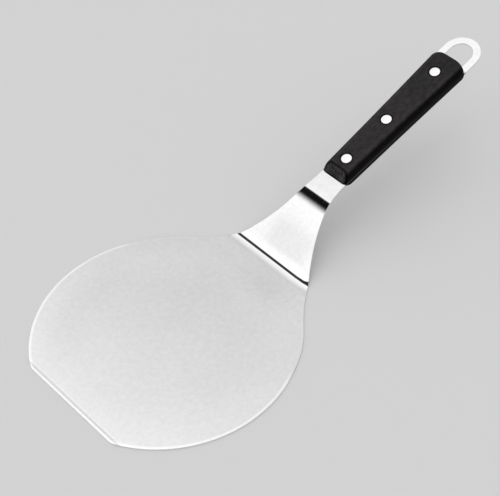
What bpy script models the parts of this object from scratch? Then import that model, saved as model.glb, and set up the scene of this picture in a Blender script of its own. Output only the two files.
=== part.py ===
"""Cake lifter: a round steel blade on a folded neck, with a riveted handle and a hanging loop.

The blade, neck, tang and loop are one sheet, cut flat as a blank and then bent at two lines.
X runs from the blade to the handle, Y across and Z up. The origin is on the underside of the
blade, at the centre of its round edge. All lengths are in metres.
"""

import math

import bmesh
import bpy
from mathutils import Matrix, Vector

NAME = "cake_lifter"

# Sheet
SHEET_THICKNESS = 0.0012
RIM_ROUNDING = 0.0003

# Blade: its round edge, and how deep the straight front edge cuts into it
BLADE_RADIUS = 0.100
FRONT_CUT = 0.0113
FRONT_CORNER_RADIUS = 0.012
GRIND_WIDTH = 0.0025
GRIND_EDGE = 0.0005

# Side profile: places of the two bend corners on the middle of the sheet
FOLD_REACH = 0.1102
NECK_LENGTH = 0.0583
NECK_RISE = math.radians(39.5)
HANDLE_RISE = math.radians(16.2)
FOLD_RADIUS = 0.003
FOLD_EASE_LENGTH = 0.006
FOLD_EASE_SHARE = 0.15
BEND_RADIUS = 0.0585

# Outline of the blank from the blade's round edge to the handle
FLARE_ANGLE = math.radians(66.4)
FLARE_START_PULL = 0.0442
FLARE_END_PULL = 0.0416
NECK_HALF_WIDTH = 0.0384
NECK_SIDE_ANGLE = math.radians(33.1)
NECK_START_PULL = 0.0401
NECK_END_PULL = 0.0165

# Handle, along the tang from the upper bend corner
HANDLE_START = 0.0207
HANDLE_LENGTH = 0.1367
HANDLE_FRONT_HALF_WIDTH = 0.0122
HANDLE_REAR_HALF_WIDTH = 0.0163
HANDLE_SWELL_SHARE = 0.3
RIVET_SHARES = (0.12, 0.453, 0.866)
RIVET_NAMES = ("front", "middle", "rear")

# Handle scales
SCALE_THICKNESS = 0.0072
SCALE_SIDE_HEIGHT = 0.0008
SCALE_FRONT_SLOPE = 0.0062
SCALE_FRONT_CORNER = 0.003
SCALE_FRONT_SHOULDER = 0.005
SCALE_REAR_SHOULDER = 0.007
SCALE_REAR_CORNER = 0.006
SCALE_REAR_EDGE = 0.0009

# Hanging loop
LOOP_REACH = 0.0271
LOOP_STRIP = 0.0064
LOOP_LAND = 0.0013
LOOP_SLOT_CORNER = 0.0015

# Rivets: a hollow upper half and a lower half whose pin sits in it
RIVET_HEAD_RADIUS = 0.0042
RIVET_HEAD_THICKNESS = 0.0018
RIVET_HEAD_CROWN = 0.0002
RIVET_STEM_RADIUS = 0.0026
RIVET_PIN_RADIUS = 0.0013
RIVET_PIN_END_SPACE = 0.001

# Space left between neighbouring pieces, and how far a cutter runs past what it cuts
SEAT_GAP = 0.0003
CUT_OVERRUN = 0.003
WELD_DISTANCE = 0.00001

# Steps per curve
CIRCLE_STEP = math.radians(2.4)
CURVE_STEPS = 16
CORNER_STEPS = 6
BEND_STEP = math.radians(3.5)
ROUNDING_STEPS = 5
SHOULDER_STEPS = 8
TURN_STEPS = 32
RIM_STEPS = 1
HANDLE_STEPS = 14

# Edges steeper than this are shaded sharp
SHARP_ANGLE = math.radians(30)


def clear_scene():
    for item in list(bpy.data.objects):
        bpy.data.objects.remove(item, do_unlink=True)


def new_collection(name):
    group = bpy.data.collections.new(name)
    bpy.context.scene.collection.children.link(group)
    return group


def new_material(name, color, roughness, metallic):
    material = bpy.data.materials.new(name)
    material.use_nodes = True
    shader = material.node_tree.nodes["Principled BSDF"]
    shader.inputs["Base Color"].default_value = (*color, 1)
    shader.inputs["Roughness"].default_value = roughness
    shader.inputs["Metallic"].default_value = metallic
    material.diffuse_color = (*color, 1)
    return material


def add_object(name, mesh, group, material=None, parent=None):
    item = bpy.data.objects.new(name, mesh)
    group.objects.link(item)
    item.parent = parent
    if material and not mesh.materials:
        mesh.materials.append(material)
    return item


def add_cut(item, cutter):
    cut = item.modifiers.new(f"cut_{cutter.name}", "BOOLEAN")
    cut.operation = "DIFFERENCE"
    cut.solver = "EXACT"
    cut.object = cutter


def mark_cutter(item):
    item.hide_render = True
    item.display_type = "WIRE"


def shade(mesh):
    mesh.shade_smooth()
    mesh.set_sharp_from_angle(angle=SHARP_ANGLE)


def arc(center, radius, start, end, steps):
    """Points along an arc, both ends included."""
    points = []
    for i in range(steps + 1):
        angle = start + (end - start) * i / steps
        points.append((center[0] + radius * math.cos(angle), center[1] + radius * math.sin(angle)))
    return points


def cubic(start, start_pull, end_pull, end, steps):
    """Points along a cubic curve, without its first point."""
    corners = [Vector(point) for point in (start, start_pull, end_pull, end)]
    points = []
    for i in range(1, steps + 1):
        t = i / steps
        weights = ((1 - t) ** 3, 3 * t * (1 - t) ** 2, 3 * t * t * (1 - t), t ** 3)
        place = sum((weight * corner for weight, corner in zip(weights, corners)), Vector((0, 0)))
        points.append(tuple(place))
    return points


def follow(runs, left, place):
    """X, Z and slope after a distance along straight and curved runs, from a start place."""
    x, z, slope = place
    for length, turn in runs:
        part = min(left, length)
        bent = turn * part / length
        if turn:
            radius = length / turn
            x += radius * (math.sin(slope + bent) - math.sin(slope))
            z += radius * (math.cos(slope) - math.cos(slope + bent))
        else:
            x += part * math.cos(slope)
            z += part * math.sin(slope)
        slope += bent
        left -= part
        if left <= 0:
            return x, z, slope
    return x + left * math.cos(slope), z + left * math.sin(slope), slope


def fold_runs():
    """The fold on the sheet's middle: a tight arc between two gentle ones that ease into the flats."""
    ease_turn = NECK_RISE * FOLD_EASE_SHARE
    core_turn = NECK_RISE - ease_turn * 2
    core_length = (FOLD_RADIUS + SHEET_THICKNESS / 2) * core_turn
    return [(FOLD_EASE_LENGTH, ease_turn), (core_length, core_turn), (FOLD_EASE_LENGTH, ease_turn)]


def total_length(runs):
    return sum(length for length, turn in runs)


def fold_tangent():
    """Distance from the corner where the two flats would meet to either end of the fold."""
    runs = fold_runs()
    x, z, slope = follow(runs, total_length(runs), (0.0, 0.0, 0.0))
    return x - z / math.tan(slope)


def bend_tangent():
    """Distance from the upper bend's corner to either end of the bend."""
    return (BEND_RADIUS + SHEET_THICKNESS / 2) * math.tan((NECK_RISE - HANDLE_RISE) / 2)


def sheet_runs():
    """Lengths and turns of the sheet's middle, from the blade's centre to the start of the tang."""
    bend_turn = NECK_RISE - HANDLE_RISE
    bend_length = (BEND_RADIUS + SHEET_THICKNESS / 2) * bend_turn
    neck = NECK_LENGTH - fold_tangent() - bend_tangent()
    return [(FOLD_REACH - fold_tangent(), 0.0), *fold_runs(), (neck, 0.0), (bend_length, -bend_turn)]


def sheet_place(run):
    """X, Z and slope of the sheet's middle at a distance along it from the blade's centre."""
    return follow(sheet_runs(), run, (0.0, SHEET_THICKNESS / 2, 0.0))


def fold_run():
    """Distance along the blank to the middle of the fold."""
    return FOLD_REACH - fold_tangent() + total_length(fold_runs()) / 2


def handle_zero_run():
    """Distance along the blank that matches zero on the handle's own axis."""
    return total_length(sheet_runs()) - bend_tangent()


def handle_half_width(place):
    """Half width of the tang and the scales, swelling faster towards the rear."""
    t = min(max((place - HANDLE_START) / HANDLE_LENGTH, 0.0), 1.0)
    swell = HANDLE_SWELL_SHARE * t * t + (1 - HANDLE_SWELL_SHARE) * t
    return HANDLE_FRONT_HALF_WIDTH + (HANDLE_REAR_HALF_WIDTH - HANDLE_FRONT_HALF_WIDTH) * swell


def handle_end():
    return HANDLE_START + HANDLE_LENGTH


def loop_center():
    return handle_end() + LOOP_REACH - HANDLE_REAR_HALF_WIDTH


def blade_front():
    """X of the straight front edge."""
    return FRONT_CUT - BLADE_RADIUS


def rivet_places():
    """Places of the rivets along the handle's axis."""
    return [HANDLE_START + HANDLE_LENGTH * share for share in RIVET_SHARES]


def blade_half():
    """Half outline of the blank from the straight front edge to the start of the handle."""
    center_x = blade_front() + FRONT_CORNER_RADIUS
    center_y = math.sqrt((BLADE_RADIUS - FRONT_CORNER_RADIUS) ** 2 - center_x ** 2)
    corner_angle = math.atan2(center_y, center_x)
    points = arc((center_x, center_y), FRONT_CORNER_RADIUS, math.pi, corner_angle, CORNER_STEPS)
    steps = max(2, round((corner_angle - FLARE_ANGLE) / CIRCLE_STEP))
    points += arc((0, 0), BLADE_RADIUS, corner_angle, FLARE_ANGLE, steps)[1:]
    start = Vector(points[-1])
    start_way = Vector((math.sin(FLARE_ANGLE), -math.cos(FLARE_ANGLE)))
    fold = Vector((fold_run(), NECK_HALF_WIDTH))
    fold_way = Vector((math.cos(NECK_SIDE_ANGLE), -math.sin(NECK_SIDE_ANGLE)))
    front = Vector((handle_zero_run() + HANDLE_START, HANDLE_FRONT_HALF_WIDTH))
    start_pull = start + start_way * FLARE_START_PULL
    points += cubic(start, start_pull, fold - fold_way * FLARE_END_PULL, fold, CURVE_STEPS)
    neck_end = front - Vector((NECK_END_PULL, 0))
    points += cubic(fold, fold + fold_way * NECK_START_PULL, neck_end, front, CURVE_STEPS)
    return points


def tang_half():
    """Half outline of the blank along the handle and round the loop to its tip."""
    zero = handle_zero_run()
    points = []
    for i in range(1, HANDLE_STEPS + 1):
        place = HANDLE_START + HANDLE_LENGTH * i / HANDLE_STEPS
        points.append((zero + place, handle_half_width(place)))
    center = (zero + loop_center(), 0.0)
    points += arc(center, HANDLE_REAR_HALF_WIDTH, math.pi / 2, 0.0, CURVE_STEPS)
    return points


def mirrored(points):
    """A closed outline from its half on the +Y side, whose last point lies on the axis."""
    return points + [(x, -y) for x, y in reversed(points[:-1])]


def slot_outline():
    """The hole in the hanging loop: straight at the handle, round at the tip."""
    zero = handle_zero_run()
    half = HANDLE_REAR_HALF_WIDTH - LOOP_STRIP
    front = zero + handle_end() + LOOP_LAND
    corner = (front + LOOP_SLOT_CORNER, half - LOOP_SLOT_CORNER)
    points = arc(corner, LOOP_SLOT_CORNER, math.pi, math.pi / 2, CORNER_STEPS)
    points += arc((zero + loop_center(), 0.0), half, math.pi / 2, 0.0, CURVE_STEPS)
    return mirrored(points)


def add_outline(curve, points):
    spline = curve.splines.new("POLY")
    spline.points.add(len(points) - 1)
    for point, (x, y) in zip(spline.points, points):
        point.co = (x, y, 0.0, 1.0)
    spline.use_cyclic_u = True


def blank_mesh():
    """The flat blank with its rounded rims, as a mesh."""
    curve = bpy.data.curves.new("blank", "CURVE")
    curve.dimensions = "2D"
    curve.fill_mode = "BOTH"
    curve.extrude = SHEET_THICKNESS / 2 - RIM_ROUNDING
    curve.bevel_depth = RIM_ROUNDING
    curve.offset = -RIM_ROUNDING
    curve.bevel_resolution = RIM_STEPS
    add_outline(curve, mirrored(blade_half() + tang_half()))
    add_outline(curve, slot_outline())
    holder = bpy.data.objects.new("blank", curve)
    bpy.context.scene.collection.objects.link(holder)
    evaluated = holder.evaluated_get(bpy.context.evaluated_depsgraph_get())
    mesh = bpy.data.meshes.new_from_object(evaluated)
    bpy.data.objects.remove(holder, do_unlink=True)
    return mesh


def bend_sheet(mesh):
    """Splits the blank along its bend lines and lays it on the side profile."""
    shape = bmesh.new()
    shape.from_mesh(mesh)
    bmesh.ops.remove_doubles(shape, verts=shape.verts, dist=WELD_DISTANCE)
    start = 0.0
    for length, turn in sheet_runs():
        if turn:
            steps = math.ceil(abs(turn) / BEND_STEP)
            for i in range(steps + 1):
                run = start + length * i / steps
                parts = shape.verts[:] + shape.edges[:] + shape.faces[:]
                bmesh.ops.bisect_plane(shape, geom=parts, plane_co=(run, 0, 0), plane_no=(1, 0, 0))
        start += length
    for vert in shape.verts:
        x, z, slope = sheet_place(vert.co.x)
        lift = vert.co.z
        vert.co.x = x - lift * math.sin(slope)
        vert.co.z = z + lift * math.cos(slope)
    bmesh.ops.recalc_face_normals(shape, faces=shape.faces)
    shape.to_mesh(mesh)
    shape.free()
    shade(mesh)


def make_sheet(parts, cutters, material):
    mesh = blank_mesh()
    mesh.name = "sheet"
    bend_sheet(mesh)
    sheet = add_object("blade_and_tang", mesh, parts, material)
    add_cut(sheet, make_grind_cutter(cutters))
    return sheet


def make_grind_cutter(cutters):
    """A box whose lower face is the ground face of the front edge."""
    drop = SHEET_THICKNESS - GRIND_EDGE
    slope = math.atan2(drop, GRIND_WIDTH)
    length = math.hypot(drop, GRIND_WIDTH) + CUT_OVERRUN * 2
    shape = bmesh.new()
    bmesh.ops.create_cube(shape, size=1)
    size = Matrix.Diagonal((length, BLADE_RADIUS * 2, CUT_OVERRUN, 1))
    lift = Matrix.Translation((0, 0, CUT_OVERRUN / 2))
    bmesh.ops.transform(shape, matrix=lift @ size, verts=shape.verts)
    mesh = bpy.data.meshes.new("grind_cutter")
    shape.to_mesh(mesh)
    shape.free()
    cutter = add_object("grind_cutter", mesh, cutters)
    middle = SHEET_THICKNESS - drop / 2
    cutter.location = (blade_front() + GRIND_WIDTH / 2, 0, middle)
    cutter.rotation_euler = (0, -slope, 0)
    mark_cutter(cutter)
    return cutter


def handle_frame(parts):
    """An empty at the upper bend corner whose X axis runs along the tang's middle."""
    x, z, slope = sheet_place(handle_zero_run() + HANDLE_START)
    frame = bpy.data.objects.new("handle_frame", None)
    parts.objects.link(frame)
    frame.location = (x - HANDLE_START * math.cos(slope), 0, z - HANDLE_START * math.sin(slope))
    frame.rotation_euler = (0, -slope, 0)
    return frame


def rounding_inset(depth, radius):
    """How far a rounded corner lies inside its faces, at a depth from its end."""
    reach = min(max(radius - depth, 0.0), radius)
    return radius - math.sqrt(radius ** 2 - reach ** 2)


def scale_section(half_width, height, shoulder):
    """Section of a scale from its -Y foot over the top to its +Y foot, with elliptical shoulders."""
    left = []
    for across, up in arc((0, 0), 1, math.pi, math.pi / 2, SHOULDER_STEPS):
        y = shoulder - half_width + shoulder * across
        z = SCALE_SIDE_HEIGHT + (height - SCALE_SIDE_HEIGHT) * up
        left.append((y, z))
    right = [(-y, z) for y, z in reversed(left)]
    return [(-half_width, 0.0)] + left + right + [(half_width, 0.0)]


def corner_depths(radii):
    """Depths from an end at which the sections of its rounded corners lie, the deepest first."""
    depths = set()
    for radius in radii:
        for i in range(1, ROUNDING_STEPS + 1):
            depths.add(radius * (1 - math.sin(math.pi / 2 * i / ROUNDING_STEPS)))
    return sorted(depths, reverse=True)


def scale_ring(shape, place, lean):
    """One section of a scale, leaning back as the front face does."""
    front_depth = place - HANDLE_START
    rear_depth = handle_end() - place
    share = front_depth / HANDLE_LENGTH
    shoulder = SCALE_FRONT_SHOULDER + (SCALE_REAR_SHOULDER - SCALE_FRONT_SHOULDER) * share
    inset = rounding_inset(front_depth, SCALE_FRONT_CORNER) + rounding_inset(rear_depth, SCALE_REAR_CORNER)
    height = SCALE_THICKNESS - rounding_inset(rear_depth, SCALE_REAR_EDGE)
    section = scale_section(handle_half_width(place) - inset, height, shoulder)
    return [shape.verts.new((place + lean * z, y, z)) for y, z in section]


def scale_rings(shape):
    """The sections along a scale: leaning ones at its front, then upright ones to its rear end."""
    lean = SCALE_FRONT_SLOPE / SCALE_THICKNESS
    rings = []
    for depth in reversed(corner_depths([SCALE_FRONT_CORNER])):
        rings.append(scale_ring(shape, HANDLE_START + depth, lean))
    rings.append(scale_ring(shape, HANDLE_START + SCALE_FRONT_CORNER, lean))
    front = HANDLE_START + SCALE_FRONT_CORNER + SCALE_FRONT_SLOPE
    straight = handle_end() - SCALE_REAR_CORNER - front
    for i in range(1, HANDLE_STEPS + 1):
        rings.append(scale_ring(shape, front + straight * i / HANDLE_STEPS, 0.0))
    for depth in corner_depths([SCALE_REAR_CORNER, SCALE_REAR_EDGE]):
        rings.append(scale_ring(shape, handle_end() - depth, 0.0))
    return rings


def scale_mesh():
    """A loft through a scale's sections."""
    shape = bmesh.new()
    rings = scale_rings(shape)
    for before, after in zip(rings, rings[1:]):
        for i, vert in enumerate(before):
            j = (i + 1) % len(before)
            shape.faces.new((vert, before[j], after[j], after[i]))
    shape.faces.new(rings[0])
    shape.faces.new(rings[-1])
    bmesh.ops.recalc_face_normals(shape, faces=shape.faces)
    mesh = bpy.data.meshes.new("scale")
    shape.to_mesh(mesh)
    shape.free()
    shade(mesh)
    return mesh


def seat_height():
    """Height of a scale's base above the middle of the tang."""
    return SHEET_THICKNESS / 2 + SEAT_GAP


def make_scales(parts, frame, material, rivet_cutters, sheet):
    mesh = scale_mesh()
    for name, side in (("handle_scale_upper", 1), ("handle_scale_lower", -1)):
        scale = add_object(name, mesh, parts, material, frame)
        scale.location = (0, 0, side * seat_height())
        scale.rotation_euler = (0 if side > 0 else math.pi, 0, 0)
        for cutter in rivet_cutters:
            add_cut(scale, cutter)
    for cutter in rivet_cutters:
        add_cut(sheet, cutter)


def turned_mesh(name, profile):
    """A solid turned about Z from a profile that runs down its outer side from the top of the axis."""
    line = bpy.data.meshes.new(name)
    edges = [(i, i + 1) for i in range(len(profile) - 1)]
    line.from_pydata([(radius, 0.0, z) for radius, z in profile], edges, [])
    holder = bpy.data.objects.new(name, line)
    bpy.context.scene.collection.objects.link(holder)
    turn = holder.modifiers.new("turn", "SCREW")
    turn.axis = "Z"
    turn.steps = TURN_STEPS
    turn.render_steps = TURN_STEPS
    turn.use_merge_vertices = True
    turn.merge_threshold = WELD_DISTANCE
    evaluated = holder.evaluated_get(bpy.context.evaluated_depsgraph_get())
    mesh = bpy.data.meshes.new_from_object(evaluated)
    bpy.data.objects.remove(holder, do_unlink=True)
    bpy.data.meshes.remove(line)
    mesh.name = name
    shade(mesh)
    return mesh


def scale_top():
    """Height of a scale's top above the middle of the tang."""
    return seat_height() + SCALE_THICKNESS


def head_seat():
    """Height of a rivet head's inner face above the middle of the tang."""
    return scale_top() - RIVET_HEAD_THICKNESS


def make_rivet_cutters(cutters, frame):
    """One stepped hole for each rivet, through both scales and the tang."""
    wide = RIVET_HEAD_RADIUS + SEAT_GAP
    narrow = RIVET_STEM_RADIUS + SEAT_GAP
    top = scale_top() + CUT_OVERRUN
    step = head_seat() - SEAT_GAP
    profile = [(0.0, top), (wide, top), (wide, step), (narrow, step)]
    profile += [(narrow, -step), (wide, -step), (wide, -top), (0.0, -top)]
    mesh = turned_mesh("rivet_hole", profile)
    made = []
    for name, place in zip(RIVET_NAMES, rivet_places()):
        cutter = add_object(f"rivet_hole_{name}", mesh, cutters, parent=frame)
        cutter.location = (place, 0, 0)
        mark_cutter(cutter)
        made.append(cutter)
    return made


def head_profile():
    """Crowned head from the middle of its top to its outer lower edge, above the tang's middle."""
    rim = scale_top() - RIVET_HEAD_CROWN
    points = []
    for i in range(ROUNDING_STEPS + 1):
        share = i / ROUNDING_STEPS
        points.append((RIVET_HEAD_RADIUS * share, rim + RIVET_HEAD_CROWN * (1 - share * share)))
    points.append((RIVET_HEAD_RADIUS, head_seat()))
    return points


def make_rivets(parts, frame, material):
    bore = RIVET_PIN_RADIUS + SEAT_GAP
    stem_end = -head_seat() + SEAT_GAP
    bore_end = head_seat()
    upper = head_profile() + [(RIVET_STEM_RADIUS, head_seat()), (RIVET_STEM_RADIUS, stem_end)]
    upper += [(bore, stem_end), (bore, bore_end), (0.0, bore_end)]
    pin_end = -(bore_end - RIVET_PIN_END_SPACE)
    lower = head_profile() + [(RIVET_PIN_RADIUS, head_seat()), (RIVET_PIN_RADIUS, pin_end), (0.0, pin_end)]
    upper_mesh = turned_mesh("rivet_upper", upper)
    lower_mesh = turned_mesh("rivet_lower", lower)
    for name, place in zip(RIVET_NAMES, rivet_places()):
        sleeve = add_object(f"rivet_{name}_upper", upper_mesh, parts, material, frame)
        sleeve.location = (place, 0, 0)
        pin = add_object(f"rivet_{name}_lower", lower_mesh, parts, material, frame)
        pin.location = (place, 0, 0)
        pin.rotation_euler = (math.pi, 0, 0)


def main():
    clear_scene()
    parts = new_collection(NAME)
    cutters = new_collection("cutters")
    steel = new_material("satin_steel", (0.78, 0.78, 0.77), 0.32, 1.0)
    wood = new_material("dark_wood", (0.035, 0.027, 0.023), 0.55, 0.0)
    bright = new_material("rivet_steel", (0.85, 0.85, 0.84), 0.22, 1.0)
    frame = handle_frame(parts)
    sheet = make_sheet(parts, cutters, steel)
    rivet_cutters = make_rivet_cutters(cutters, frame)
    make_scales(parts, frame, wood, rivet_cutters, sheet)
    make_rivets(parts, frame, bright)
    bpy.context.view_layer.update()


if __name__ == "__main__":
    main()
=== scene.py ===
"""Cake lifter, finished for pictures: bent steel sheet, wooden handle scales, rivets and a small studio."""

import math

import bmesh
import bpy
from bpy.props import FloatProperty, FloatVectorProperty, PointerProperty
from mathutils import Euler, Matrix, Vector


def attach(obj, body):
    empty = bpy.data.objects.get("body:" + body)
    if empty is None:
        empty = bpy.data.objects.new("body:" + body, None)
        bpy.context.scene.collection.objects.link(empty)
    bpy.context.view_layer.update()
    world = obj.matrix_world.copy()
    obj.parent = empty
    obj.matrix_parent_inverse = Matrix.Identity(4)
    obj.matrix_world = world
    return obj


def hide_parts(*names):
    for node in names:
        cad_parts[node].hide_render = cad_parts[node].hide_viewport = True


bl_info = {
    "name": "Cake lifter",
    "version": (1, 0, 0),
    "blender": (4, 5, 0),
    "location": "3D View > Sidebar > Cake lifter",
    "description": "Makes a round cake lifter with a riveted wooden handle, and a small studio round it",
    "category": "Object",
}

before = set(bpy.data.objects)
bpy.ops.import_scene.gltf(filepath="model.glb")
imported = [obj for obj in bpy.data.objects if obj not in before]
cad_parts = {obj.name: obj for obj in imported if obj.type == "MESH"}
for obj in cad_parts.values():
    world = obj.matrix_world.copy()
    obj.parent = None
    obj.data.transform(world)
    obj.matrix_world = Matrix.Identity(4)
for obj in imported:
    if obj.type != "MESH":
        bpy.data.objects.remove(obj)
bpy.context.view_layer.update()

BODY = "root"
PLACE = "place"

# Camera: where it stands, how it is turned, and its lens
CAMERA_PLACE = (-0.38222651, -0.53156409, 0.79421433)
CAMERA_TURN = (42.87601954, 1.45043371, -42.97685728)
CAMERA_LENS = 100.36283
CAMERA_SENSOR = 36.0

# Steps per curve
CIRCLE_STEP = math.radians(1.2)
CURVE_STEPS = 36
CORNER_STEPS = 10
BEND_STEP = math.radians(0.8)
RIM_STEPS = 3
HOLE_STEPS = 40
HANDLE_STEPS = 26
SHOULDER_STEPS = 14
ROUNDING_STEPS = 8
HEAD_EDGE_STEPS = 4
TURN_STEPS = 64
FLOOR_STEPS = 96

# Working sizes and limits
WELD_DISTANCE = 0.000002
CUT_DIGITS = 7
DEPTH_DIGITS = 8
CUTTER_OVERRUN = 0.003
FOOT_MIDDLE = 0.3
FLAT_FACE = 0.9999
FACES_UP = 0.5
SCALE_SHARP_ANGLE = math.radians(32)
RIVET_SHARP_ANGLE = math.radians(40)
CAMERA_NEAR = 0.05
CAMERA_FAR = 50.0


# Settings

def setting(kind, **fixed):
    """A kind of setting, made from its name, its description and its default."""
    def make(name, description, default, **own):
        return kind(name=name, description=description, default=default, **{**fixed, **own})
    return make


length = setting(FloatProperty, min=0.00001, max=2.0, precision=5, unit="LENGTH", subtype="DISTANCE")
angle = setting(FloatProperty, min=0.0, max=math.pi, unit="ROTATION", subtype="ANGLE")
share = setting(FloatProperty, min=0.0, max=1.0, subtype="FACTOR")
color = setting(FloatVectorProperty, size=3, min=0.0, max=1.0, subtype="COLOR")


class SheetSettings(bpy.types.PropertyGroup):
    """Sizes and finish of the steel sheet that is blade, neck, tang and hanging loop."""

    thickness: length("Thickness", "Thickness of the sheet", 0.0012)
    rim_rounding: length("Rim rounding", "Radius on the sheet's cut edges", 0.0003)
    blade_radius: length("Blade radius", "Radius of the blade's round edge", 0.100)
    front_cut: length("Front cut", "How deep the straight front edge cuts into the circle", 0.0113)
    front_corner: length("Front corner", "Radius where the straight edge meets the round one", 0.012)
    grind_width: length("Ground width", "Width of the ground strip along the front edge", 0.0025)
    grind_edge: length("Ground edge", "Thickness left at the ground front edge", 0.0005)
    fold_reach: length("Fold reach", "Distance from the blade's centre to the fold", 0.1102)
    fold_radius: length("Fold radius", "Inner radius of the fold", 0.003)
    fold_ease: length("Fold ease", "Length of the gentle curve on each side of the fold", 0.006)
    fold_ease_share: share("Fold ease share", "Share of the turn in each gentle curve", 0.15, max=0.45)
    neck_length: length("Neck length", "Distance from the fold to the upper bend", 0.0583)
    neck_rise: angle("Neck rise", "Slope of the neck", math.radians(39.5))
    bend_radius: length("Bend radius", "Inner radius of the upper bend", 0.0585)
    flare_angle: angle("Flare angle", "Where the round edge runs out into the neck", math.radians(66.4))
    flare_start_pull: length("Flare start pull", "Pull of the flare's curve at the round edge", 0.0442)
    flare_end_pull: length("Flare end pull", "Pull of the flare's curve at the fold", 0.0416)
    neck_half_width: length("Neck half width", "Half width of the neck at the fold", 0.0384)
    neck_side_angle: angle("Neck side angle", "Slant of the neck's sides at the fold", math.radians(33.1))
    neck_start_pull: length("Neck start pull", "Pull of the neck's curve at the fold", 0.0401)
    neck_end_pull: length("Neck end pull", "Pull of the neck's curve at the handle", 0.0165)
    loop_reach: length("Loop reach", "How far the hanging loop reaches past the handle", 0.0271)
    loop_strip: length("Loop strip", "Width of the metal round the loop's hole", 0.0064)
    loop_land: length("Loop land", "Metal between the handle's end and the loop's hole", 0.0013)
    loop_slot_corner: length("Loop slot corner", "Corner radius of the loop's hole", 0.0015)
    steel: color("Steel", "Colour of the satin steel", (0.800, 0.800, 0.799))


class HandleSettings(bpy.types.PropertyGroup):
    """Sizes and finish of the two handle scales."""

    rise: angle("Rise", "Slope of the handle", math.radians(16.2))
    start: length("Start", "Distance from the upper bend's corner to the scales", 0.0207)
    reach: length("Length", "Length of the scales", 0.1367)
    front_half_width: length("Front half width", "Half width at the front", 0.0122)
    rear_half_width: length("Rear half width", "Half width at the rear", 0.0163)
    swell_share: share("Swell share", "How late along the handle it widens", 0.3)
    height: length("Scale thickness", "Thickness of one scale", 0.0072)
    side_height: length("Side height", "Height of the upright side below the shoulder", 0.0008)
    front_slope: length("Front slope", "How far the sloped front face leans back", 0.0062)
    front_corner: length("Front corner", "Corner radius at the front, seen from above", 0.003)
    front_edge: length("Front edge", "Rounding between the front face and the top", 0.0005)
    front_shoulder: length("Front shoulder", "Width of the rounded shoulder at the front", 0.005)
    rear_shoulder: length("Rear shoulder", "Width of the rounded shoulder at the rear", 0.007)
    rear_corner: length("Rear corner", "Corner radius at the rear, seen from above", 0.006)
    rear_edge: length("Rear edge", "Rounding between the rear face and the top", 0.0009)
    foot_edge: length("Foot edge", "Rounding along the tang", 0.0002)
    wood: color("Wood", "Main colour of the wood", (0.0262, 0.0252, 0.0254))
    warm_wood: color("Warm wood", "Colour of the wood's warmer streaks", (0.0292, 0.0247, 0.0253))
    dry_wood: color("Dry wood", "Colour of the worn end grain", (0.0420, 0.0408, 0.0404))


class RivetSettings(bpy.types.PropertyGroup):
    """Sizes, places and finish of the rivets."""

    front_share: share("Front rivet", "Place of the front rivet along the handle", 0.12)
    middle_share: share("Middle rivet", "Place of the middle rivet along the handle", 0.453)
    rear_share: share("Rear rivet", "Place of the rear rivet along the handle", 0.866)
    head_radius: length("Head radius", "Radius of a rivet's head", 0.0042)
    head_thickness: length("Head thickness", "Thickness of a rivet's head", 0.0018)
    head_crown: length("Head crown", "How far the head's middle stands above its rim", 0.0002)
    head_edge: length("Head edge", "Rounding of the head's rim", 0.00015)
    stem_radius: length("Stem radius", "Radius of the hollow stem", 0.0026)
    pin_radius: length("Pin radius", "Radius of the pin in the stem", 0.0013)
    pin_end_space: length("Pin end space", "Space left past the end of the pin", 0.001)
    seat_gap: length("Seat gap", "Space between neighbouring pieces", 0.0003)
    steel: color("Rivet steel", "Colour of the rivets", (0.860, 0.860, 0.855))


class StageSettings(bpy.types.PropertyGroup):
    """The floor and the light."""

    floor: color("Floor", "Colour of the floor", (0.720, 0.720, 0.720))
    backdrop: color("Backdrop", "Colour behind the floor", (0.800, 0.800, 0.800))
    floor_radius: length("Floor radius", "Radius of the floor", 1.9)
    light: share("Light", "Brightness of the studio", 1.0, max=2.0)


class LifterSettings(bpy.types.PropertyGroup):
    """Everything that can be changed about the cake lifter."""

    sheet: PointerProperty(type=SheetSettings)
    handle: PointerProperty(type=HandleSettings)
    rivets: PointerProperty(type=RivetSettings)
    stage: PointerProperty(type=StageSettings)


# Node trees

def maths_form(operation, reflected=False):
    """An operator of a signal, or its reflected form, that adds a Math node."""
    def form(self, other):
        pair = (other, self) if reflected else (self, other)
        return self.flow.maths(operation, *pair)
    return form


class Signal:
    """One output of a node. Sums and products on it add Math nodes to its tree."""

    def __init__(self, flow, socket):
        self.flow = flow
        self.socket = socket

    __add__ = __radd__ = maths_form("ADD")
    __mul__ = __rmul__ = maths_form("MULTIPLY")
    __sub__, __rsub__ = maths_form("SUBTRACT"), maths_form("SUBTRACT", True)
    __truediv__, __rtruediv__ = maths_form("DIVIDE"), maths_form("DIVIDE", True)

    def step(self, low, high):
        """A soft step from 0 at low to 1 at high."""
        sockets = {"Value": self, "From Min": low, "From Max": high}
        return self.flow.node("ShaderNodeMapRange", sockets, {"interpolation_type": "SMOOTHSTEP"})

    def fall(self, low, high):
        """A soft step from 1 at low to 0 at high."""
        return 1 - self.step(low, high)

    def hump(self, low, rise, fall, high):
        """A soft hump: 0 up to low, 1 from rise to fall, 0 again from high."""
        return self.step(low, rise) * self.fall(fall, high)

    def beside(self, line, offsets):
        """A soft step or hump beside a line, from its two or four offsets to the line."""
        places = [line + offset for offset in offsets]
        return self.hump(*places) if len(places) == 4 else self.step(*places)


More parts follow.
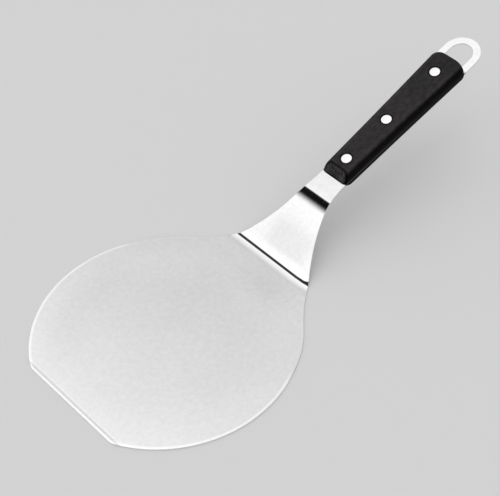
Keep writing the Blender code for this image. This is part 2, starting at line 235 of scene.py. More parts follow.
class Flow:
    """A node tree that is filled from Python."""

    def __init__(self, tree):
        self.tree = tree
        tree.nodes.clear()

    def node(self, kind, sockets=None, settings=None, output=0):
        """Adds a node: its settings first, then its sockets' values or links. Gives an output, if any."""
        made = self.tree.nodes.new(kind)
        for name, value in (settings or {}).items():
            setattr(made, name, value)
        for name, value in (sockets or {}).items():
            self.feed(pick(made.inputs, name), value)
        return Signal(self, pick(made.outputs, output)) if made.outputs else None

    def feed(self, socket, value):
        if isinstance(value, Signal):
            self.tree.links.new(value.socket, socket)
        else:
            socket.default_value = value

    def maths(self, operation, *values):
        return self.node("ShaderNodeMath", dict(enumerate(values)), {"operation": operation})

    def noise(self, place, size, detail, roughness, distortion=0.0):
        """Noise with features of about the given size in metres, or a size for each direction."""
        sizes = size if isinstance(size, tuple) else (size, size, size)
        scaled = self.stretch(place, tuple(1 / one for one in sizes))
        sockets = {"Vector": scaled, "Scale": 1.0, "Detail": detail, "Roughness": roughness,
                   "Distortion": distortion}
        return self.node("ShaderNodeTexNoise", sockets)

    def stretch(self, place, factors):
        return self.node("ShaderNodeVectorMath", {0: place, 1: factors}, {"operation": "MULTIPLY"})

    def mix(self, factor, first, second):
        """A colour between two colours."""
        sockets = {"Factor": factor, "A": opaque(first), "B": opaque(second)}
        return self.node("ShaderNodeMix", sockets, {"data_type": "RGBA"}, "Result")

    def shade(self, factor, tint):
        """A colour times a number."""
        return self.node("ShaderNodeVectorMath", {"Vector": tint, "Scale": factor}, {"operation": "SCALE"})

    def split(self, vector):
        """The three numbers of a vector."""
        first = self.node("ShaderNodeSeparateXYZ", {0: vector})
        return [Signal(self, socket) for socket in first.socket.node.outputs]

    def place(self):
        """The coordinates that the piece's mesh keeps as an attribute."""
        return self.node("ShaderNodeAttribute", {}, {"attribute_name": PLACE}, "Vector")


def pick(sockets, key):
    """A socket by its number, or by its name among those in use."""
    if isinstance(key, int):
        return sockets[key]
    return next(socket for socket in sockets if socket.name == key and socket.enabled)


def opaque(tint):
    """A colour with full alpha; a signal stays as it is."""
    return tint if isinstance(tint, Signal) else (*tint, 1.0)


def new_tree(name, values):
    """A Geometry Nodes tree with inputs for a piece and for each value: its flow and the inputs by name."""
    tree = bpy.data.node_groups.new(name, "GeometryNodeTree")
    tree.interface.new_socket("Geometry", in_out="OUTPUT", socket_type="NodeSocketGeometry")
    tree.interface.new_socket("Piece", in_out="INPUT", socket_type="NodeSocketGeometry")
    for title, value in values.items():
        kind = "NodeSocketFloat" if isinstance(value, float) else "NodeSocketMaterial"
        tree.interface.new_socket(title, in_out="INPUT", socket_type=kind)
    flow = Flow(tree)
    sockets = flow.node("NodeGroupInput").socket.node.outputs
    return flow, {title: Signal(flow, sockets[title]) for title in ("Piece", *values)}


def end_tree(flow, geometry, material):
    """Ends a tree in Realize Instances and Set Material."""
    real = flow.node("GeometryNodeRealizeInstances", {"Geometry": geometry})
    painted = flow.node("GeometryNodeSetMaterial", {"Geometry": real, "Material": material})
    flow.node("NodeGroupOutput", {"Geometry": painted})


def add_tree(item, flow, values):
    """Puts a tree on an object, with its inputs set by their identifiers."""
    modifier = item.modifiers.new(flow.tree.name, "NODES")
    modifier.node_group = flow.tree
    for socket in flow.tree.interface.items_tree:
        if socket.in_out == "INPUT" and socket.name in values:
            modifier[socket.identifier] = values[socket.name]


# Meshes

def show(name, mesh):
    item = bpy.data.objects.new(name, mesh)
    bpy.context.scene.collection.objects.link(item)
    return item


def shown_mesh(item):
    """A plain mesh of what an object shows with its modifiers."""
    graph = bpy.context.evaluated_depsgraph_get()
    return bpy.data.meshes.new_from_object(item.evaluated_get(graph))


def settle(item):
    """Turns what an object's modifiers make into its own plain mesh."""
    mesh, old = shown_mesh(item), item.data
    item.modifiers.clear()
    item.data = mesh
    mesh.name = item.name
    bpy.data.meshes.remove(old)
    return item


def mesh_from(name, shape):
    """Turns a finished shape into a mesh."""
    mesh = bpy.data.meshes.new(name)
    shape.to_mesh(mesh)
    shape.free()
    return mesh


def smooth(item, sharp_angle=None):
    """Shades a piece smooth, with its large faces deciding the normals."""
    item.data.shade_smooth()
    if sharp_angle:
        item.data.set_sharp_from_angle(angle=sharp_angle)
    weighted = item.modifiers.new("even_normals", "WEIGHTED_NORMAL")
    weighted.keep_sharp = True
    return settle(item)


def keep_place(mesh):
    """Keeps the vertices' present coordinates as an attribute for the material."""
    attribute = mesh.attributes.new(PLACE, "FLOAT_VECTOR", "POINT")
    for value, vert in zip(attribute.data, mesh.vertices):
        value.vector = vert.co


def set_material(item, material):
    item.data.materials.clear()
    item.data.materials.append(material)


def finish_piece(item, slot, *nodes):
    """Lets a piece stand for its CAD nodes."""
    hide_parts(*nodes)
    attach(item, BODY)


def arc(center, radius, start, end, steps):
    """Points along an arc, both ends included."""
    points = []
    for i in range(steps + 1):
        turn = start + (end - start) * i / steps
        points.append((center[0] + radius * math.cos(turn), center[1] + radius * math.sin(turn)))
    return points


def cubic(start, start_pull, end_pull, end, steps):
    """Points along a cubic curve, without its first point."""
    corners = [Vector(point) for point in (start, start_pull, end_pull, end)]
    points = []
    for i in range(1, steps + 1):
        t = i / steps
        weights = ((1 - t) ** 3, 3 * t * (1 - t) ** 2, 3 * t * t * (1 - t), t ** 3)
        place = sum((weight * corner for weight, corner in zip(weights, corners)), Vector((0, 0)))
        points.append(tuple(place))
    return points


# The steel sheet's side profile

PLAIN_MATHS = {"SINE": math.sin, "COSINE": math.cos, "MINIMUM": min, "MAXIMUM": max}


def plain_maths(operation, *values):
    """What a Math node's operation gives for plain numbers."""
    return PLAIN_MATHS[operation](*values)


def follow(runs, distance, place, maths=plain_maths):
    """X, Z and slope at a distance along straight and curved runs, for numbers or for signals.

    Before the first run, which has to be straight, and after the last one the way goes straight on.
    """
    x, z, slope = place
    here, start = slope, 0.0
    least = maths("MINIMUM", distance, 0.0)
    for reach, turn in runs:
        part = maths("MINIMUM", maths("MAXIMUM", distance - start, least), reach)
        sine, cosine = maths("SINE", here), maths("COSINE", here)
        if turn:
            radius = reach / turn
            bent = part / radius
            x = x + radius * (maths("SINE", here + bent) - sine)
            z = z + radius * (cosine - maths("COSINE", here + bent))
            slope = slope + bent
            here = here + turn
        else:
            x = x + part * cosine
            z = z + part * sine
        start = start + reach
        least = 0.0
    rest = maths("MAXIMUM", distance - start, 0.0)
    return x + rest * maths("COSINE", here), z + rest * maths("SINE", here), slope


class Profile:
    """The runs of the sheet's middle from the blade's centre to the tang, and the handle's axis on them."""

    def __init__(self, sheet, handle):
        ease_turn = sheet.neck_rise * sheet.fold_ease_share
        core_turn = sheet.neck_rise - ease_turn * 2
        core = (sheet.fold_radius + sheet.thickness / 2) * core_turn
        fold = [(sheet.fold_ease, ease_turn), (core, core_turn), (sheet.fold_ease, ease_turn)]
        fold_length = sum(reach for reach, turn in fold)
        x, z, slope = follow(fold, fold_length, (0.0, 0.0, 0.0))
        fold_tangent = x - z / math.tan(slope)
        bend_turn = sheet.neck_rise - handle.rise
        bend_middle = sheet.bend_radius + sheet.thickness / 2
        bend_tangent = bend_middle * math.tan(bend_turn / 2)
        flat = sheet.fold_reach - fold_tangent
        neck = sheet.neck_length - fold_tangent - bend_tangent
        self.half = sheet.thickness / 2
        self.ease, self.core = sheet.fold_ease, core
        self.runs = [(flat, 0.0), *fold, (neck, 0.0), (bend_middle * bend_turn, -bend_turn)]
        self.fold_start = flat
        self.fold_run = flat + fold_length / 2
        self.neck_start = flat + fold_length
        self.bend_start = self.neck_start + neck
        self.zero_run = sum(reach for reach, turn in self.runs) - bend_tangent
        x, z, self.rise = follow(self.runs, self.zero_run + handle.start, (0.0, self.half, 0.0))
        x -= handle.start * math.cos(self.rise)
        z -= handle.start * math.sin(self.rise)
        self.origin = Vector((x, 0, z))

    def axis(self):
        """The matrix that lays a piece made along X onto the handle."""
        return Matrix.Translation(self.origin) @ Euler((0, -self.rise, 0)).to_matrix().to_4x4()


def current():
    """The present settings and the profile that they make."""
    own = bpy.context.scene.cake_lifter
    return own.sheet, own.handle, own.rivets, Profile(own.sheet, own.handle)


# The flat blank

def swelled(handle, along):
    """Half width of the tang and the scales at a share of the handle's length, wider towards the rear."""
    swell = handle.swell_share * along * along + (1 - handle.swell_share) * along
    return handle.front_half_width + (handle.rear_half_width - handle.front_half_width) * swell


def half_width(handle, place):
    return swelled(handle, min(max((place - handle.start) / handle.reach, 0.0), 1.0))


def loop_center(sheet, handle, profile):
    scale_end = profile.zero_run + handle.start + handle.reach
    return scale_end + sheet.loop_reach - handle.rear_half_width, 0.0


def blade_half(sheet, handle, profile):
    """Half outline of the blank from the straight front edge to the start of the handle."""
    center_x = sheet.front_cut - sheet.blade_radius + sheet.front_corner
    center_y = math.sqrt((sheet.blade_radius - sheet.front_corner) ** 2 - center_x ** 2)
    corner = math.atan2(center_y, center_x)
    points = arc((center_x, center_y), sheet.front_corner, math.pi, corner, CORNER_STEPS)
    steps = max(2, round((corner - sheet.flare_angle) / CIRCLE_STEP))
    points += arc((0, 0), sheet.blade_radius, corner, sheet.flare_angle, steps)[1:]
    start = Vector(points[-1])
    start_way = Vector((math.sin(sheet.flare_angle), -math.cos(sheet.flare_angle)))
    fold = Vector((profile.fold_run, sheet.neck_half_width))
    fold_way = Vector((math.cos(sheet.neck_side_angle), -math.sin(sheet.neck_side_angle)))
    front = Vector((profile.zero_run + handle.start, handle.front_half_width))
    start_pull = start + start_way * sheet.flare_start_pull
    points += cubic(start, start_pull, fold - fold_way * sheet.flare_end_pull, fold, CURVE_STEPS)
    fold_pull = fold + fold_way * sheet.neck_start_pull
    points += cubic(fold, fold_pull, front - Vector((sheet.neck_end_pull, 0)), front, CURVE_STEPS)
    return points


def tang_half(sheet, handle, profile):
    """Half outline of the blank along the handle and round the loop to its tip."""
    points = []
    for i in range(1, HANDLE_STEPS + 1):
        place = handle.start + handle.reach * i / HANDLE_STEPS
        points.append((profile.zero_run + place, half_width(handle, place)))
    center = loop_center(sheet, handle, profile)
    return points + arc(center, handle.rear_half_width, math.pi / 2, 0.0, CURVE_STEPS)[1:]


def mirrored(points):
    """A closed outline from its half on the +Y side, whose last point lies on the axis."""
    return points + [(x, -y) for x, y in reversed(points[:-1])]


def slot_outline(sheet, handle, profile):
    """The hole in the hanging loop: straight at the handle, round at the tip."""
    half = handle.rear_half_width - sheet.loop_strip
    front = profile.zero_run + handle.start + handle.reach + sheet.loop_land
    corner = (front + sheet.loop_slot_corner, half - sheet.loop_slot_corner)
    points = arc(corner, sheet.loop_slot_corner, math.pi, math.pi / 2, CORNER_STEPS)
    points += arc(loop_center(sheet, handle, profile), half, math.pi / 2, 0.0, CURVE_STEPS)
    return mirrored(points)


def rivet_places(handle, rivets):
    shares = (rivets.front_share, rivets.middle_share, rivets.rear_share)
    return [handle.start + handle.reach * one for one in shares]


def blank_outlines(sheet, handle, rivets, profile):
    """The blank's outer edge, the loop's hole and the rivet holes."""
    outlines = [mirrored(blade_half(sheet, handle, profile) + tang_half(sheet, handle, profile))]
    outlines.append(slot_outline(sheet, handle, profile))
    for place in rivet_places(handle, rivets):
        center = (profile.zero_run + place, 0.0)
        hole = arc(center, rivets.stem_radius + rivets.seat_gap, 0.0, math.tau, HOLE_STEPS)
        outlines.append(hole[:-1])
    return outlines


def blank_mesh(sheet, outlines):
    """The flat blank with its rounded rims."""
    curve = bpy.data.curves.new("blank", "CURVE")
    curve.dimensions = "2D"
    curve.fill_mode = "BOTH"
    curve.extrude = sheet.thickness / 2 - sheet.rim_rounding
    curve.bevel_depth = sheet.rim_rounding
    curve.offset = -sheet.rim_rounding
    curve.bevel_resolution = RIM_STEPS
    for points in outlines:
        spline = curve.splines.new("POLY")
        spline.points.add(len(points) - 1)
        for point, (x, y) in zip(spline.points, points):
            point.co = (x, y, 0.0, 1.0)
        spline.use_cyclic_u = True
    holder = show("blank", curve)
    mesh = shown_mesh(holder)
    bpy.data.objects.remove(holder, do_unlink=True)
    bpy.data.curves.remove(curve)
    return mesh


def burr_line(sheet):
    """Where the ground strip ends, along the sheet from the blade's centre."""
    return sheet.front_cut - sheet.blade_radius + sheet.grind_width


def split_blank(mesh, sheet, profile):
    """Adds the lines that the bends and the ground strip need."""
    shape = bmesh.new()
    shape.from_mesh(mesh)
    bmesh.ops.remove_doubles(shape, verts=shape.verts, dist=WELD_DISTANCE)
    ground = burr_line(sheet)
    cuts = {round(ground, CUT_DIGITS)}
    start = 0.0
    for reach, turn in profile.runs:
        if turn:
            steps = math.ceil(abs(turn) / BEND_STEP)
            cuts.update(round(start + reach * i / steps, CUT_DIGITS) for i in range(steps + 1))
        start += reach
    for x in sorted(cuts):
        cut_across(shape, x)
    bmesh.ops.dissolve_degenerate(shape, edges=shape.edges, dist=WELD_DISTANCE)
    for edge in shape.edges:
        if all(abs(vert.co.x - ground) < WELD_DISTANCE and vert.co.z > 0 for vert in edge.verts):
            edge.smooth = False
    bmesh.ops.recalc_face_normals(shape, faces=shape.faces)
    shape.to_mesh(mesh)
    shape.free()


def cut_across(shape, x):
    parts = shape.verts[:] + shape.edges[:] + shape.faces[:]
    bmesh.ops.bisect_plane(shape, geom=parts, dist=WELD_DISTANCE, plane_co=(x, 0, 0), plane_no=(1, 0, 0))


# The bending tree

RUN_NAMES = ("Flat", "First ease", "Fold", "Second ease", "Neck", "Bend")


def bending_tree(values):
    """Grinds the front edge of a flat blank and bends it along the side profile."""
    flow, given = new_tree("Bend the sheet", values)
    position = flow.node("GeometryNodeInputPosition")
    settings = {"data_type": "FLOAT_VECTOR", "domain": "POINT"}
    sockets = {"Geometry": given["Piece"], "Name": PLACE, "Value": position}
    kept = flow.node("GeometryNodeStoreNamedAttribute", sockets, settings)
    run, across, up = flow.split(position)
    middle = given["Thickness"] / 2
    ground = flow.maths("MAXIMUM", (run - given["Front edge"]) / given["Ground width"], 0.0)
    ground = flow.maths("MINIMUM", ground, 1.0)
    edge_share = given["Ground edge"] / given["Thickness"]
    lift = (up + middle) * (edge_share + (1 - edge_share) * ground) - middle
    runs = [(given[name], given.get(f"{name} turn")) for name in RUN_NAMES]
    x, z, slope = follow(runs, run, (0.0, middle, 0.0), flow.maths)
    x = x - lift * flow.maths("SINE", slope)
    z = z + lift * flow.maths("COSINE", slope)
    place = flow.node("ShaderNodeCombineXYZ", {"X": x, "Y": across, "Z": z})
    bent = flow.node("GeometryNodeSetPosition", {"Geometry": kept, "Position": place})
    end_tree(flow, bent, given["Material"])
    return flow


def bending_values(sheet, profile, material):
    values = {"Material": material, "Thickness": sheet.thickness, "Ground width": sheet.grind_width,
              "Ground edge": sheet.grind_edge, "Front edge": sheet.front_cut - sheet.blade_radius}
    for name, (reach, turn) in zip(RUN_NAMES, profile.runs):
        values[name] = reach
        if turn:
            values[f"{name} turn"] = turn
    return values


def flat_normals(mesh):
    """Normals at the flat blank's face corners: upright on its two faces, rounded along the rims."""
    upright = {}
    for face in mesh.polygons:
        if abs(face.normal.z) > FLAT_FACE:
            for vert in face.vertices:
                upright[vert] = Vector((0, 0, math.copysign(1, face.normal.z)))
    corners = zip(mesh.loops, mesh.corner_normals)
    return [upright.get(corner.vertex_index, normal.vector.copy()) for corner, normal in corners]


def bend_normals(mesh, flat, sheet, profile):
    """Turns the flat blank's normals with the sheet, so that the bends shade evenly."""
    place = mesh.attributes[PLACE].data
    line = burr_line(sheet)
    grind_slope = math.atan2(sheet.thickness - sheet.grind_edge, sheet.grind_width)
    normals = list(flat)
    for face in mesh.polygons:
        runs = [place[vert].vector.x for vert in face.vertices]
        on_ground = sum(runs) / len(runs) < line
        for corner, run in zip(face.loop_indices, runs):
            x, y, z = flat[corner]
            slope = follow(profile.runs, run, (0.0, 0.0, 0.0))[2]
            if on_ground and z > FACES_UP:
                slope += grind_slope
            sine, cosine = math.sin(slope), math.cos(slope)
            normals[corner] = Vector((x * cosine - z * sine, y, x * sine + z * cosine))
    mesh.normals_split_custom_set(normals)


# The handle scales

def rounding(depth, radius):
    """How far a rounded corner lies inside its faces, at a depth from its end."""
    reach = min(max(radius - depth, 0.0), radius)
    return radius - math.sqrt(radius ** 2 - reach ** 2)


def depths(radii):
    """Depths from an end at which the sections of its rounded corners lie, the deepest first."""
    found = set()
    for radius in radii:
        for i in range(ROUNDING_STEPS + 1):
            found.add(round(radius * (1 - math.sin(math.pi / 2 * i / ROUNDING_STEPS)), DEPTH_DIGITS))
    return sorted(found, reverse=True)


def scale_section(handle, half, height, shoulder):
    """Section of a scale over its top, with elliptical shoulders and a small rounding along the tang."""
    foot = handle.foot_edge
    left = [(foot - half, 0.0), (foot * FOOT_MIDDLE - half, foot * FOOT_MIDDLE), (-half, foot)]
    for across, up in arc((0, 0), 1, math.pi, math.pi / 2, SHOULDER_STEPS):
        y = shoulder - half + shoulder * across
        left.append((y, handle.side_height + (height - handle.side_height) * up))
    return left + [(-y, z) for y, z in reversed(left)]


def scale_ring(shape, handle, place, lean):
    """One section of a scale, which leans back by a share of its height where the front face does."""
    front = place - handle.start
    rear = handle.start + handle.reach - place
    along = front / handle.reach
    shoulder = handle.front_shoulder + (handle.rear_shoulder - handle.front_shoulder) * along
    inset = rounding(front, handle.front_corner) + rounding(rear, handle.rear_corner)
    height = handle.height - rounding(rear, handle.rear_edge)
    if lean:
        height -= rounding(front, handle.front_edge)
    section = scale_section(handle, half_width(handle, place) - inset, height, shoulder)
    return [shape.verts.new((place + lean * z, y, z)) for y, z in section]


def scale_rings(shape, handle):
    """The sections along a scale: leaning ones at its front, then upright ones to its rear end."""
    lean = handle.front_slope / handle.height
    end = handle.start + handle.reach
    rings = []
    for depth in reversed(depths([handle.front_corner, handle.front_edge])):
        rings.append(scale_ring(shape, handle, handle.start + depth, lean))
    front = handle.start + handle.front_corner + handle.front_slope
    straight = end - handle.rear_corner - front
    for i in range(1, HANDLE_STEPS):
        rings.append(scale_ring(shape, handle, front + straight * i / HANDLE_STEPS, 0.0))
    for depth in depths([handle.rear_corner, handle.rear_edge]):
        rings.append(scale_ring(shape, handle, end - depth, 0.0))
    return rings


def scale_mesh(handle):
    """A loft through a scale's sections."""
    shape = bmesh.new()
    rings = scale_rings(shape, handle)
    for before, after in zip(rings, rings[1:]):
        for i, vert in enumerate(before):
            j = (i + 1) % len(before)
            shape.faces.new((vert, before[j], after[j], after[i]))
    shape.faces.new(rings[0])
    shape.faces.new(rings[-1])
    bmesh.ops.recalc_face_normals(shape, faces=shape.faces)
    return mesh_from("scale", shape)


def turned_mesh(name, outline):
    """A solid turned about Z from an outline of radius and height."""
    shape = bmesh.new()
    verts = [shape.verts.new((radius, 0.0, z)) for radius, z in outline]
    edges = [shape.edges.new(pair) for pair in zip(verts, verts[1:])]
    bmesh.ops.spin(shape, geom=verts + edges, cent=(0, 0, 0), axis=(0, 0, 1), angle=math.tau,
                   steps=TURN_STEPS, use_merge=True)
    bmesh.ops.remove_doubles(shape, verts=shape.verts, dist=WELD_DISTANCE)
    bmesh.ops.recalc_face_normals(shape, faces=shape.faces)
    return mesh_from(name, shape)


def cut_rivet_seats(item, handle, rivets):
    """Cuts a stepped hole for each rivet into a scale whose base lies at zero."""
    wide = rivets.head_radius + rivets.seat_gap
    narrow = rivets.stem_radius + rivets.seat_gap
    seat = handle.height - rivets.head_thickness - rivets.seat_gap
    over, under = handle.height + CUTTER_OVERRUN, -CUTTER_OVERRUN
    outline = [(0.0, over), (wide, over), (wide, seat), (narrow, seat), (narrow, under), (0.0, under)]
    cutters = []
    for place in rivet_places(handle, rivets):
        cutter = show("rivet_seat", turned_mesh("rivet_seat", outline))
        cutter.data.transform(Matrix.Translation((place, 0, 0)))
        cut = item.modifiers.new("rivet_seat", "BOOLEAN")
        cut.operation = "DIFFERENCE"
        cut.solver = "EXACT"
        cut.object = cutter
        cutters.append(cutter)
    settle(item)
    for cutter in cutters:
        bpy.data.objects.remove(cutter, do_unlink=True)


# The rivets

def head_outline(handle, rivets, base):
    """Outline of a crowned head with a rounded rim, from the middle of its top to its outer lower edge."""
    top = base + handle.height
    rim = top - rivets.head_crown
    flat = rivets.head_radius - rivets.head_edge
    points = []
    for i in range(ROUNDING_STEPS + 1):
        part = i / ROUNDING_STEPS
        points.append((flat * part, rim + rivets.head_crown * (1 - part * part)))
    center = (flat, rim - rivets.head_edge)
    points += arc(center, rivets.head_edge, math.pi / 2, 0.0, HEAD_EDGE_STEPS)[1:]
    return points + [(rivets.head_radius, top - rivets.head_thickness)]


def rivet_meshes(handle, rivets, half_sheet):
    """The upper half of a rivet, with its hollow stem, and the lower half, with its pin."""
    base = half_sheet + rivets.seat_gap
    seat = base + handle.height - rivets.head_thickness
    bore = rivets.pin_radius + rivets.seat_gap
    stem_end = rivets.seat_gap - seat
    pin_end = rivets.pin_end_space - seat
    head = head_outline(handle, rivets, base)
    upper = head + [(rivets.stem_radius, seat), (rivets.stem_radius, stem_end), (bore, stem_end)]
    upper += [(bore, seat), (0.0, seat)]
    lower = head + [(rivets.pin_radius, seat), (rivets.pin_radius, pin_end), (0.0, pin_end)]
    return turned_mesh("rivet_upper", upper), turned_mesh("rivet_lower", lower)


def riveting_tree(values):
    """Sets a copy of one rivet half at each of the three places along the handle."""
    flow, given = new_tree("Set the rivets", values)
    index = flow.node("GeometryNodeInputIndex")
    second = flow.maths("GREATER_THAN", index, 0.5)
    third = flow.maths("GREATER_THAN", index, 1.5)
    along = given["Front place"] + (given["Middle place"] - given["Front place"]) * second
    along = along + (given["Rear place"] - given["Middle place"]) * third
    x = given["Axis X"] + along * flow.maths("COSINE", given["Rise"])
    z = given["Axis Z"] + along * flow.maths("SINE", given["Rise"])
    place = flow.node("ShaderNodeCombineXYZ", {"X": x, "Y": 0.0, "Z": z})
    points = flow.node("GeometryNodePoints", {"Count": 3, "Position": place})
    over = given["Turned over"] * math.pi
    turn = flow.node("ShaderNodeCombineXYZ", {"X": over, "Y": 0 - given["Rise"]})
    sockets = {"Points": points, "Instance": given["Piece"], "Rotation": turn}
    set_rivets = flow.node("GeometryNodeInstanceOnPoints", sockets)
    end_tree(flow, set_rivets, given["Material"])
    return flow


def rivet_values(handle, rivets, profile, material):
    front, middle, rear = rivet_places(handle, rivets)
    return {"Material": material, "Front place": front, "Middle place": middle, "Rear place": rear,
            "Axis X": profile.origin.x, "Axis Z": profile.origin.z, "Rise": profile.rise,
            "Turned over": 0.0}


# Finishes

# Grains: size in metres or a size for each direction, then detail, roughness and distortion
STEEL_MOTTLE = (0.0040, 3.0, 0.6)
STEEL_SPECK = (0.0014, 2.0, 0.6)
STEEL_CLOUD = (0.045, 2.0, 0.5)
STEEL_BRUSHING = ((0.020, 0.00035, 0.00035), 2.0, 0.6)
RIVET_SCRATCHES = ((0.004, 0.00018, 0.00018), 2.0, 0.6)
WOOD_STREAKS = ((0.045, 0.0030, 0.0060), 4.0, 0.6, 0.6)
WOOD_PATCHES = ((0.030, 0.012, 0.012), 2.0, 0.5, 0.3)
WOOD_MOTTLE = ((0.0045, 0.0035, 0.0035), 3.0, 0.65)
WOOD_FIBRES = ((0.0060, 0.00040, 0.00040), 3.0, 0.6)
WOOD_PORES = ((0.0040, 0.00045, 0.00060), 2.0, 0.7)
WOOD_END_GRAIN = ((0.0015, 0.0017, 0.0018), 3.0, 0.6)

# Reliefs: depth in metres and strength
STEEL_RELIEF = (0.000003, 0.5)
RIVET_RELIEF = (0.000004, 0.5)
WOOD_RELIEF = (0.00008, 0.6)

# Marks, painted shade and painted highlights on the steel and the wood: places in metres, two for a soft
# step and four for a hump
TOP_SIDE = (0.0, 0.0001)
CREASE = (-0.0019, -0.0009, 0.0004, 0.0011)
CREASE_NEAR_END = (-0.032, -0.024)
CREASE_TIP = (-0.039, -0.032)
BLADE_SIDE_HIGHLIGHT = (-0.001, 0.003)
BURR_AND_SHADE = (-0.0014, -0.0001, 0.0003, 0.0009)
BEHIND_BURR = (0.0006, 0.0013, 0.0018, 0.0034)
GROUND_END = (-0.0020, -0.0002)
RIM = (-0.0030, -0.0012)
RIM_REAR_END = (0.030, 0.050)
WIDE_RIM = (0.050, 0.098)
FOLD_START = (-0.004, 0.0)
FOLD_MARK_END = (-0.004, 0.001)
NECK_MIDDLE = (-0.0015, 0.004, 0.017, 0.034)
NECK_SIDE = (0.012, 0.030)
RIM_SHADE = (0.050, 0.070, 0.078, 0.096)
RIM_SHADE_SIDE = (0.010, 0.050)
RIM_SHADE_REAR = (0.0, 0.040)
BEND_GLOSS = (-0.004, 0.004, 0.026, 0.030)
TANG_START = (0.014, 0.020)
TANG_END = (0.05, 0.06)
SCALE_FRONT = (0.0001, 0.0008)
SCALE_REAR = (-0.024, -0.010)
SHOULDER = (0.0012, 0.0036)
SHOULDER_TOP = (-0.0026, -0.0012)
RIDGE = (0.0030, 0.0038, 0.0044, 0.0066)
FRONT_UPPER_LINE = (0.0001, 0.0005, 0.0015, 0.0022)
FRONT_LOWER_LINE = (0.0004, 0.0012)
RIVET_RING = (0.0006, 0.0016)

# Other sizes and shares of the marks, painted shade and painted highlights
CREASE_SHARE = 0.36
CREASE_STEP = 0.0005
CREASE_BOW = 0.0004
CREASE_TIP_BOW = 0.0013
CREASE_SPREAD = 0.5
FOLD_GLOSS_EASE = 0.004
NECK_MARK_SHIFT = 0.004
FOLD_MARK_PLACE = (0.014, 0.014)
FOLD_MARK_SIZE = (0.024, 0.040)
TANG_FADE = (0.001, 0.004)
TANG_DARK_REAR = 0.030


def new_finish(name, values):
    """A material with its flow and its Principled shader, whose constants are on its own sockets."""
    material = bpy.data.materials.new(name)
    material.use_nodes = True
    flow = Flow(material.node_tree)
    shader = flow.node("ShaderNodeBsdfPrincipled", values).socket.node
    flow.node("ShaderNodeOutputMaterial", {"Surface": Signal(flow, shader.outputs[0])})
    return material, flow, shader


def dress(flow, shader, tint, rough, height, relief):
    """Feeds a shader its colour, its roughness, and a relief of the given depth and strength."""
    depth, strength = relief
    sockets = {"Strength": strength, "Distance": depth, "Height": height}
    flow.feed(shader.inputs["Base Color"], tint)
    flow.feed(shader.inputs["Roughness"], rough)
    flow.feed(shader.inputs["Normal"], flow.node("ShaderNodeBump", sockets))


def dimmed(value, *marks):
    """A brightness, less each mark's share of it."""
    for share_taken, mark in marks:
        value = value * (1 - share_taken * mark)
    return value


def satin_steel(sheet, handle, profile):
    """Satin steel: fine lengthwise brushing and soft mottling, brighter at the rim and beside the crease by
    painted highlights, with painted shade in the crease and in soft patches.
    """
    material, flow, shader = new_finish("satin_steel", {"Metallic": 1.0})
    place = flow.place()
    run, across, up = flow.split(place)
    radius = flow.maths("SQRT", run * run + across * across)
    mottle = flow.noise(place, *STEEL_MOTTLE)
    speck = flow.noise(place, *STEEL_SPECK)
    cloud = flow.noise(place, *STEEL_CLOUD)
    brush = flow.noise(place, *STEEL_BRUSHING)
    shade = 1 + (mottle - 0.5) * 0.14 + (speck - 0.5) * 0.12 + (cloud - 0.5) * 0.07 + (brush - 0.5) * 0.04
    bow = crease_bow(across)
    # Painted highlights: on the ground strip, along the rim and on both sides of the crease
    shade = shade + rim_highlight(run, radius, sheet, profile) + fold_highlight(run - bow, profile)
    shade = shade - painted_shade_patches(flow, run, across, radius, profile)
    top = up.step(*TOP_SIDE)
    # Painted shade in the crease on the inside of the fold
    crease = crease_shade_line(run - bow, bow, profile) * top
    # A thin darker line where the ground strip ends: partly the edge left by grinding, partly painted shade
    burr_and_shade = run.beside(burr_line(sheet), BURR_AND_SHADE) * top
    # Painted shade on the tang between the scales
    shade = dimmed(shade, (0.97, crease), (0.22, burr_and_shade), (1.0, tang_shade(run, handle, profile)))
    fold, neck = profile.fold_start, profile.neck_start
    fold_gloss = run.hump(fold - FOLD_GLOSS_EASE, fold, neck, neck + FOLD_GLOSS_EASE)
    rough = 0.16 - 0.06 * fold_gloss - 0.10 * run.beside(profile.bend_start, BEND_GLOSS)
    rough = rough + (mottle - 0.5) * 0.03 + (brush - 0.5) * 0.03
    tint = flow.shade(shade, tuple(sheet.steel))
    dress(flow, shader, tint, rough, mottle * 0.4 + brush * 0.3, STEEL_RELIEF)
    return material


def rim_highlight(run, radius, sheet, profile):
    """Painted highlight: the blade made brighter on the ground strip, just behind it, along its round rim
    and more and more towards the rim.
    """
    ground = 1 - run.beside(burr_line(sheet), GROUND_END)
    behind_burr = run.beside(burr_line(sheet), BEHIND_BURR)
    rim = radius.beside(sheet.blade_radius, RIM) * run.fall(*RIM_REAR_END) * (1 - ground)
    wide_rim = radius.step(*WIDE_RIM) * (1 - run.beside(profile.fold_start, FOLD_START))
    return ground * 0.14 + behind_burr * 0.035 + rim * 0.19 + wide_rim * 0.045


def crease_place(profile):
    """Where the crease lies along the sheet."""
    return profile.fold_start + profile.ease + profile.core * CREASE_SHARE


def crease_bow(across):
    """How far the crease runs up at its near end."""
    return CREASE_BOW * across.fall(*CREASE_NEAR_END) + CREASE_TIP_BOW * across.fall(*CREASE_TIP)


def fold_highlight(run, profile):
    """Painted highlight: brighter strips on both sides of the crease."""
    crease = crease_place(profile)
    turned = crease + CREASE_STEP
    before = [profile.fold_start + offset for offset in BLADE_SIDE_HIGHLIGHT]
    blade_side = run.hump(*before, crease, turned)
    neck_side = run.hump(crease, turned, profile.neck_start - profile.ease, profile.neck_start)
    return blade_side * 0.27 + neck_side * 0.10


